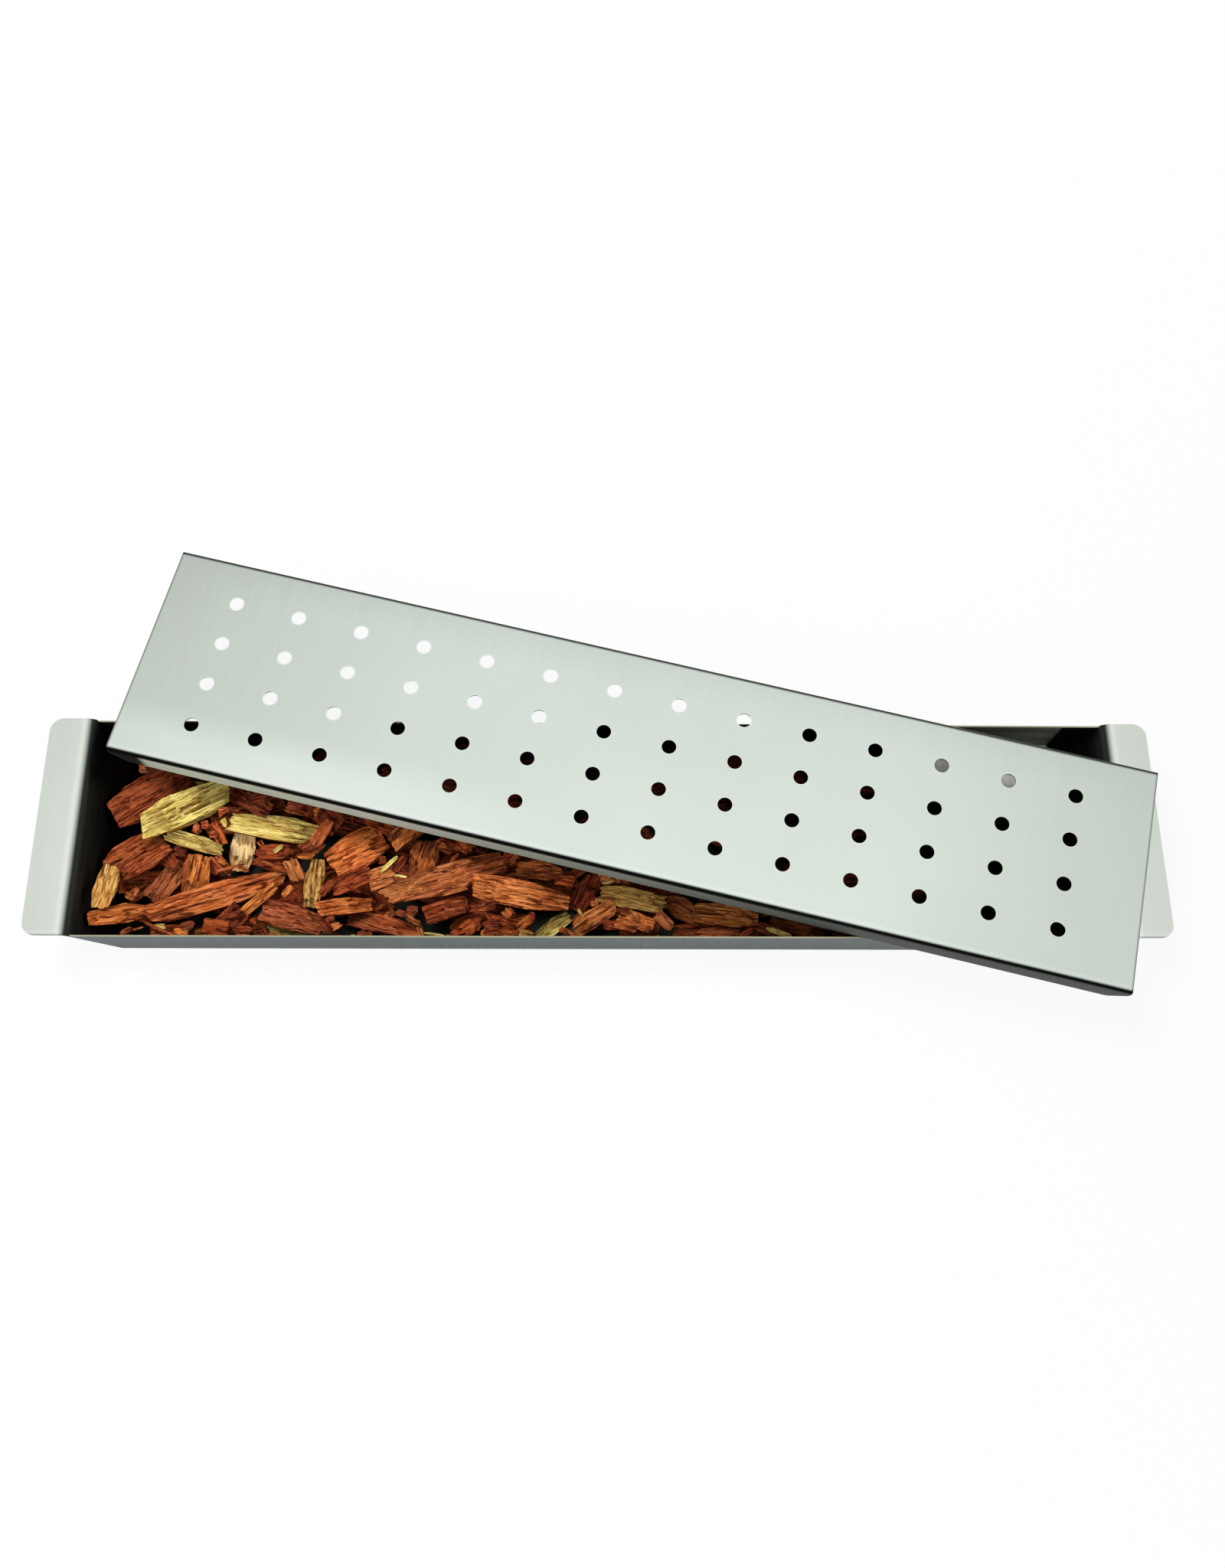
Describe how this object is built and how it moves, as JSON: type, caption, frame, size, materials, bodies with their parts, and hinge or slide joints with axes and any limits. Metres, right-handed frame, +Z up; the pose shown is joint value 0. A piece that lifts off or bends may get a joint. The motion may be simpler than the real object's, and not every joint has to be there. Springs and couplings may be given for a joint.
{
  "type": "smoker tray",
  "caption": "Long shallow folded steel tray with end tabs, filled with wood chips, and a loose perforated lid lying skewed across it.",
  "frame": {"origin": "middle of the tray's underside", "axes": "+X along the tray to its right end, +Y to the back wall, +Z up"},
  "size_m": [0.4168, 0.1744, 0.0326],
  "materials": {
    "steel": "fine brush lines across the sheet's width, satin",
    "wood_red": "split red-brown hardwood, dry and fibrous",
    "wood_dark": "split dark red-brown wood, dry and fibrous",
    "wood_orange": "split orange-brown wood, dry and fibrous",
    "wood_ochre": "split ochre wood, dry and fibrous",
    "wood_yellow": "split pale yellow sapwood, dry and fibrous",
    "wood_cream": "split cream wood, dry and fibrous"
  },
  "bodies": {
    "tray_body": {"tray": "steel", "wood_chip_01": "wood_dark", "wood_chip_02": "wood_dark", "wood_chip_03": "wood_dark", "wood_chip_04": "wood_dark", "wood_chip_05": "wood_dark", "wood_chip_06": "wood_dark", "wood_chip_07": "wood_dark", "wood_chip_08": "wood_dark", "wood_chip_09": "wood_dark", "wood_chip_10": "wood_dark", "wood_chip_11": "wood_dark", "wood_chip_12": "wood_dark", "wood_chip_13": "wood_dark", "wood_chip_14": "wood_dark", "wood_chip_15": "wood_dark", "wood_chip_16": "wood_dark", "wood_chip_17": "wood_dark", "wood_chip_18": "wood_dark", "wood_chip_19": "wood_dark", "wood_chip_20": "wood_dark", "wood_chip_21": "wood_red", "wood_chip_22": "wood_dark", "wood_chip_23": "wood_dark", "wood_chip_24": "wood_dark", "wood_chip_25": "wood_dark", "wood_chip_26": "wood_red", "wood_chip_27": "wood_dark", "wood_chip_28": "wood_dark", "wood_chip_29": "wood_red", "wood_chip_30": "wood_yellow", "wood_chip_31": "wood_red", "wood_chip_32": "wood_yellow", "wood_chip_33": "wood_dark", "wood_chip_34": "wood_red", "wood_chip_35": "wood_red", "wood_chip_36": "wood_orange", "wood_chip_37": "wood_dark", "wood_chip_38": "wood_orange", "wood_chip_39": "wood_dark", "wood_chip_40": "wood_dark", "wood_chip_41": "wood_yellow", "wood_chip_42": "wood_cream", "wood_chip_43": "wood_orange", "wood_chip_44": "wood_red", "wood_chip_45": "wood_orange", "wood_chip_46": "wood_yellow", "wood_chip_47": "wood_yellow", "wood_chip_48": "wood_orange", "wood_chip_49": "wood_ochre", "wood_chip_50": "wood_red", "wood_chip_51": "wood_ochre", "wood_chip_52": "wood_red", "wood_chip_53": "wood_red", "wood_chip_54": "wood_red", "wood_chip_55": "wood_red", "wood_chip_56": "wood_ochre", "wood_chip_57": "wood_orange", "wood_chip_58": "wood_orange"},
    "lid_body": {"lid": "steel"}
  },
  "joints": [
    {"name": "lid_lift", "type": "slide", "parent": "tray_body", "child": "lid_body", "axis": [0, 0, 1], "range_m": [0, 0.08]}
  ]
}
